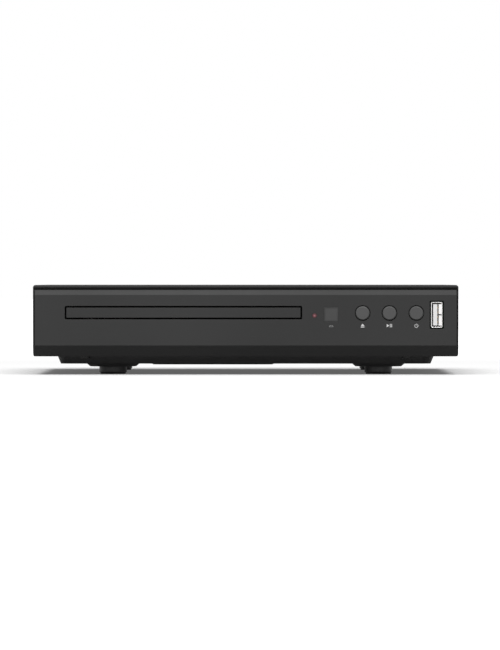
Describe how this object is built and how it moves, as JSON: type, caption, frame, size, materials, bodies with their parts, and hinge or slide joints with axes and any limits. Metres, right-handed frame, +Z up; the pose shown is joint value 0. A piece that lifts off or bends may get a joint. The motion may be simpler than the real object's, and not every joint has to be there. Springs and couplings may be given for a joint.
{
  "type": "dvd player",
  "caption": "Low disc player in a steel case with a bevelled front, a sliding disc tray, round push buttons, a host socket and jacks behind.",
  "frame": {"origin": "on the floor under the middle of the bounding box", "axes": "+X to the viewer's right along the front, +Y from the front to the back, +Z up"},
  "size_m": [0.225, 0.2084, 0.0475],
  "materials": {
    "cover_paint": "satin black powder coat",
    "pan_paint": "satin black coated sheet",
    "fascia_plastic": "fine moulded grain",
    "button_plastic": "satin moulded",
    "foot_plastic": "satin moulded",
    "foot_rubber": "matt",
    "screw_steel": "blackened zinc",
    "window_plastic": "smoked clear",
    "lamp_plastic": "frosted clear",
    "lamp_red": "tinted clear",
    "switch_plastic": "moulded",
    "receiver_plastic": "dark moulded",
    "socket_nickel": "bright nickel plate",
    "host_insulator": "white moulded",
    "tray_plastic": "fine moulded grain",
    "loader_plastic": "moulded",
    "gear_plastic": "natural acetal",
    "belt_rubber": "matt",
    "motor_steel": "zinc plate",
    "rod_steel": "ground",
    "traverse_plastic": "glass filled moulding",
    "turntable_plastic": "satin moulded",
    "sled_metal": "die cast",
    "holder_plastic": "moulded",
    "lens_glass": "coated",
    "board_green": "solder mask",
    "chip_black": "moulded",
    "capacitor_sleeve": "shrink sleeve",
    "transformer_tape": "tape over ferrite",
    "sink_metal": "mill finish",
    "inlet_plastic": "moulded",
    "jack_yellow": "moulded",
    "jack_white": "moulded",
    "jack_red": "moulded",
    "lead_plastic": "insulation"
  },
  "bodies": {
    "chassis": {"bottom_pan": "pan_paint", "capacitors": "capacitor_sleeve", "chips": "chip_black", "clamp_bridge": "loader_plastic", "cover_screws": "screw_steel", "drive_belt": "belt_rubber", "feet": "foot_plastic", "foot_pads": "foot_rubber", "front_board": "board_green", "front_fascia": "fascia_plastic", "front_ribbon": "lead_plastic", "heat_sink": "sink_metal", "host_shell": "socket_nickel", "host_tongue": "host_insulator", "inlet_prongs": "socket_nickel", "inner_screws": "screw_steel", "ir_receiver": "receiver_plastic", "ir_window": "window_plastic", "jack_barrels": "socket_nickel", "jack_block": "inlet_plastic", "lamp_pipe": "lamp_plastic", "left_insert_white": "jack_white", "loader_frame": "loader_plastic", "loading_motor": "motor_steel", "main_board": "board_green", "mains_inlet": "inlet_plastic", "pivot_bushes": "gear_plastic", "power_board": "board_green", "power_lead": "lead_plastic", "right_insert_red": "jack_red", "standby_lamp": "lamp_red", "tact_switches": "switch_plastic", "top_cover": "cover_paint", "transformer": "transformer_tape", "video_insert_yellow": "jack_yellow", "video_shell": "socket_nickel", "video_tongue": "inlet_plastic"},
    "tray": {"disc_tray": "tray_plastic", "tray_door": "fascia_plastic"},
    "drive_gear": {"drive_gear": "gear_plastic"},
    "pulley_gear": {"pulley_gear": "gear_plastic"},
    "motor_pulley": {"motor_pulley": "gear_plastic"},
    "traverse": {"traverse_frame": "traverse_plastic", "guide_rods": "rod_steel", "spindle_motor": "motor_steel", "sled_motor": "motor_steel"},
    "cam_slider": {"cam_slider": "loader_plastic"},
    "sled": {"pickup_sled": "sled_metal", "lens_holder": "holder_plastic", "objective_lens": "lens_glass"},
    "lead_screw": {"lead_screw": "rod_steel"},
    "turntable": {"turntable": "turntable_plastic"},
    "clamper": {"clamper": "gear_plastic", "clamper_yoke": "motor_steel"},
    "eject_button": {"eject_button": "button_plastic", "eject_plunger": "switch_plastic"},
    "play_button": {"play_button": "button_plastic", "play_plunger": "switch_plastic"},
    "power_button": {"power_button": "button_plastic", "power_plunger": "switch_plastic"}
  },
  "joints": [
    {"name": "tray_slide", "type": "slide", "parent": "chassis", "child": "tray", "axis": [0, -1, 0], "range_m": [0, 0.135]},
    {"name": "drive_gear_spin", "type": "hinge", "parent": "chassis", "child": "drive_gear", "pos_m": [-0.0833, -0.07225, 0.02585], "axis": [0, 0, 1], "continuous": true},
    {"name": "pulley_gear_spin", "type": "hinge", "parent": "chassis", "child": "pulley_gear", "pos_m": [-0.0673, -0.07225, 0.02585], "axis": [0, 0, 1], "continuous": true},
    {"name": "motor_pulley_spin", "type": "hinge", "parent": "chassis", "child": "motor_pulley", "pos_m": [-0.0349, -0.07225, 0.02815], "axis": [0, 0, 1], "continuous": true},
    {"name": "traverse_tilt", "type": "hinge", "parent": "chassis", "child": "traverse", "pos_m": [-0.0329, 0.05425, 0.026], "axis": [-1, 0, 0], "range_deg": [0, 5.8]},
    {"name": "cam_slide", "type": "slide", "parent": "chassis", "child": "cam_slider", "axis": [1, 0, 0], "range_m": [0, 0.0161]},
    {"name": "sled_slide", "type": "slide", "parent": "traverse", "child": "sled", "axis": [0, 0.9949, 0.1011], "range_m": [0, 0.036]},
    {"name": "lead_screw_spin", "type": "hinge", "parent": "traverse", "child": "lead_screw", "pos_m": [-0.0039, -0.01551, 0.01715], "axis": [0, 0.9949, 0.1011], "continuous": true},
    {"name": "turntable_spin", "type": "hinge", "parent": "traverse", "child": "turntable", "pos_m": [-0.0329, -0.03175, 0.02656], "axis": [0, -0.1011, 0.9949], "continuous": true},
    {"name": "clamper_spin", "type": "hinge", "parent": "chassis", "child": "clamper", "pos_m": [-0.0329, -0.03125, 0.03805], "axis": [0, 0, 1], "continuous": true},
    {"name": "eject_press", "type": "slide", "parent": "chassis", "child": "eject_button", "axis": [0, 1, 0], "range_m": [0, 0.0005], "stiffness_N_per_m": 500},
    {"name": "play_press", "type": "slide", "parent": "chassis", "child": "play_button", "axis": [0, 1, 0], "range_m": [0, 0.0005], "stiffness_N_per_m": 500},
    {"name": "power_press", "type": "slide", "parent": "chassis", "child": "power_button", "axis": [0, 1, 0], "range_m": [0, 0.0005], "stiffness_N_per_m": 500}
  ],
  "couplings": [
    {"joint": "drive_gear_spin", "follows": "tray_slide", "rad_per_m": 133.33},
    {"joint": "pulley_gear_spin", "follows": "tray_slide", "rad_per_m": -222.22},
    {"joint": "motor_pulley_spin", "follows": "tray_slide", "rad_per_m": -550.99},
    {"joint": "cam_slide", "follows": "traverse_tilt", "m_per_rad": 0.15806},
    {"joint": "lead_screw_spin", "follows": "sled_slide", "rad_per_m": 2094.4}
  ]
}
